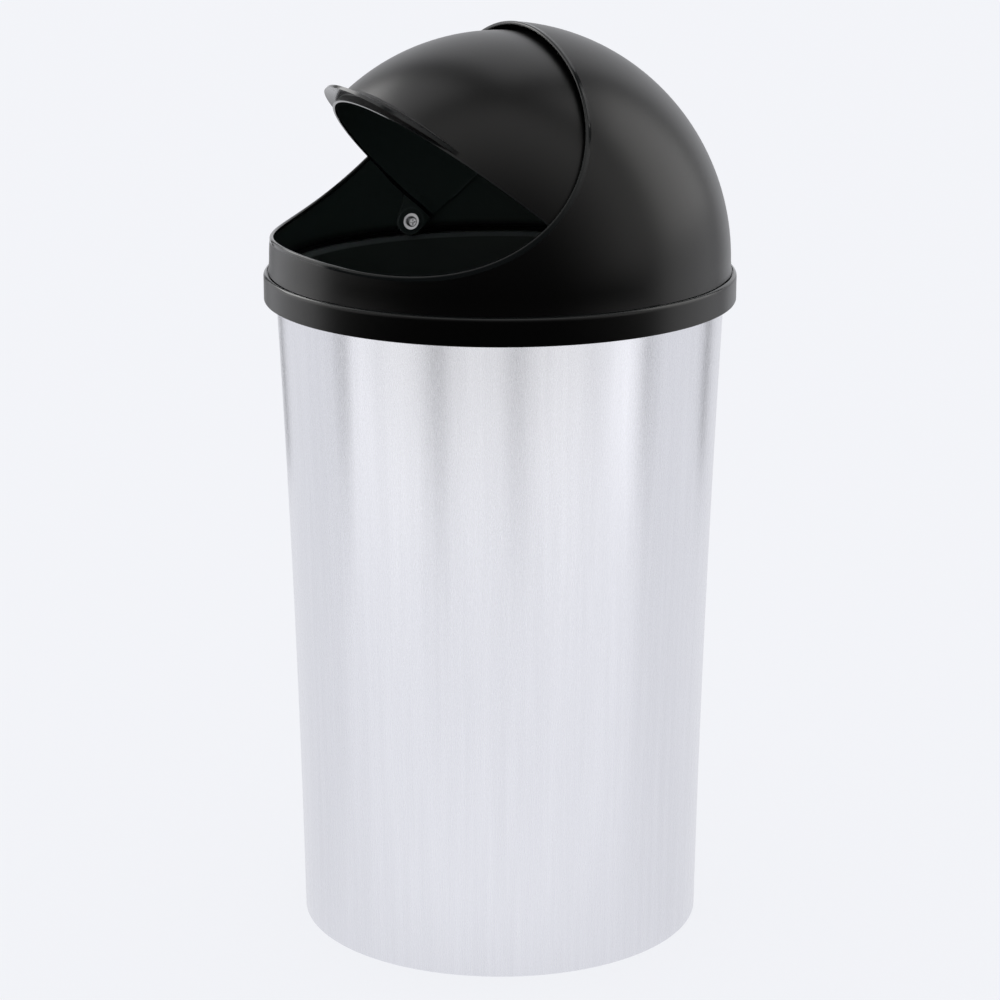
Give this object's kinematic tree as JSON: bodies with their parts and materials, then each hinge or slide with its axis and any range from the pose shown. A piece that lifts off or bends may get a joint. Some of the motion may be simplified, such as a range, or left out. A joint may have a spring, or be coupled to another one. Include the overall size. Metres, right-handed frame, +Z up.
{
  "type": "dome top waste receptacle",
  "caption": "Round waste receptacle: tapered steel sleeve with an inner tub, under a lift-off dome hood whose roll-back flap swings on side pivots.",
  "frame": {"origin": "centre of the receptacle's footprint, on the floor", "axes": "+Z up, -Y out of the mouth of the hood, X along the flap's pivot line"},
  "size_m": [0.39, 0.39, 0.7612],
  "materials": {
    "steel_sheet": "fine vertical brushing, satin",
    "gloss_black": "soft gloss, moulded",
    "tub_black": "satin, moulded",
    "foot_rubber": "matte",
    "plated_steel": "bright plated",
    "nylon": "natural nylon, waxy"
  },
  "bodies": {
    "bin_body": {"outer_sleeve": "steel_sheet", "inner_tub": "tub_black", "base_plate": "tub_black", "foot_pad_1": "foot_rubber", "foot_pad_2": "foot_rubber", "foot_pad_3": "foot_rubber", "foot_pad_4": "foot_rubber"},
    "hood_body": {"hood": "gloss_black", "pivot_screw_right": "plated_steel", "pivot_screw_left": "plated_steel", "screw_washer_right": "plated_steel", "screw_washer_left": "plated_steel", "friction_washer_right": "nylon", "friction_washer_left": "nylon"},
    "flap_body": {"flap": "gloss_black"}
  },
  "joints": [
    {"name": "hood_lift", "type": "slide", "parent": "bin_body", "child": "hood_body", "axis": [0, 0, 1], "range_m": [0, 0.15]},
    {"name": "flap_swing", "type": "hinge", "parent": "hood_body", "child": "flap_body", "pos_m": [0, 0, 0.569], "axis": [-1, 0, 0], "range_deg": [-41, 40]}
  ]
}
